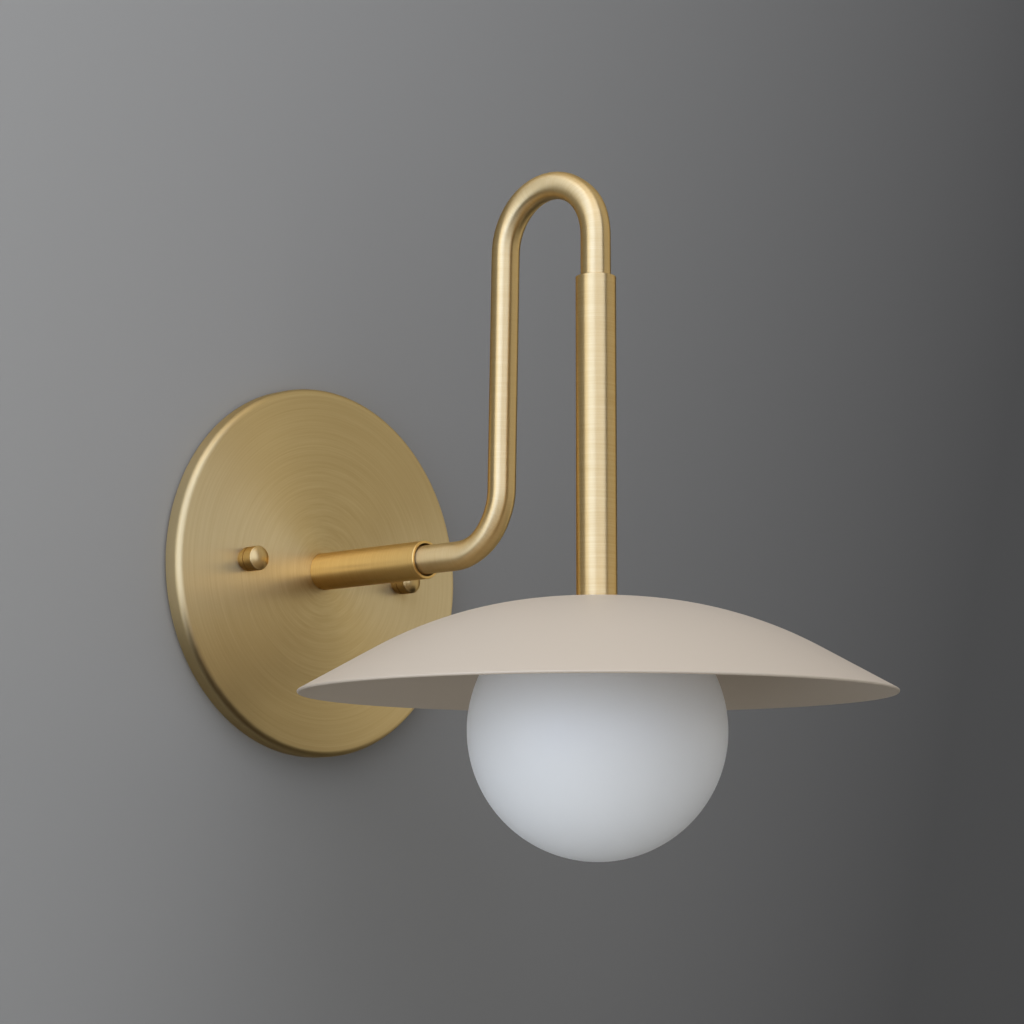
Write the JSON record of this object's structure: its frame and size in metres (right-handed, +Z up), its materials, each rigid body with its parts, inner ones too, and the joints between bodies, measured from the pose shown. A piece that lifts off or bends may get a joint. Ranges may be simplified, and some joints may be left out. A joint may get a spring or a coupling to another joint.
{
  "type": "globe wall sconce",
  "caption": "Wall sconce: round brass canopy, bent tube arm and stem, shallow dished shade, and a screw-in opal globe over a pin lamp.",
  "frame": {"origin": "where the canopy's axis meets the wall, at the centre of the wall plate's box-screw circle", "axes": "+Z up, +Y into the wall, the arm stands out along -Y, +X to the right as seen facing the wall"},
  "size_m": [0.1842, 0.2256, 0.22],
  "materials": {
    "satin_brass": "brushed satin brass under clear lacquer",
    "plain_brass": "raw threaded brass",
    "zinc_steel": "bright zinc plate",
    "earth_screw": "green plated steel",
    "shade_enamel": "matte bone powder coat",
    "opal_glass": "satin etched opal glass",
    "gasket_silicone": "translucent white silicone",
    "bushing_nylon": "moulded black nylon",
    "socket_ceramic": "unglazed steatite",
    "contact_bronze": "plain spring bronze",
    "lamp_plastic": "moulded white plastic",
    "lamp_frost": "frosted clear plastic",
    "led_board": "ceramic strip with yellow phosphor dots"
  },
  "bodies": {
    "fixture": {"canopy": "satin_brass", "cap_nut_washers": "satin_brass", "cap_nuts": "satin_brass", "wall_sleeve": "satin_brass", "bent_arm": "satin_brass", "stem_tube": "satin_brass", "canopy_nipple": "plain_brass", "stem_nipple": "plain_brass", "mounting_plate": "zinc_steel", "canopy_studs": "zinc_steel", "stud_nuts": "zinc_steel", "canopy_lock_washer": "zinc_steel", "canopy_locknut": "zinc_steel", "holder_washer": "zinc_steel", "holder_locknut": "zinc_steel", "holder_cup": "zinc_steel", "socket_bridge": "zinc_steel", "socket_screws": "zinc_steel", "ground_screw": "earth_screw", "shade": "shade_enamel", "wire_bushing": "bushing_nylon", "socket_body": "socket_ceramic", "socket_contacts": "contact_bronze"},
    "gasket": {"globe_gasket": "gasket_silicone"},
    "globe": {"opal_globe": "opal_glass"},
    "lamp": {"lamp_base": "lamp_plastic", "lamp_pins": "contact_bronze", "lamp_capsule": "lamp_frost", "lamp_led_board": "led_board"}
  },
  "joints": [
    {"name": "globe_drop", "type": "slide", "parent": "fixture", "child": "gasket", "axis": [0, 0, -1], "range_m": [0, 0.009]},
    {"name": "globe_turn", "type": "hinge", "parent": "gasket", "child": "globe", "pos_m": [0, -0.13351, -0.05881], "axis": [0, 0, -1], "range_deg": [0, 1080]},
    {"name": "lamp_pull", "type": "slide", "parent": "fixture", "child": "lamp", "axis": [0, 0, -1], "range_m": [0, 0.013]}
  ],
  "couplings": [
    {"joint": "globe_drop", "follows": "globe_turn", "m_per_rad": 0.00047745}
  ]
}
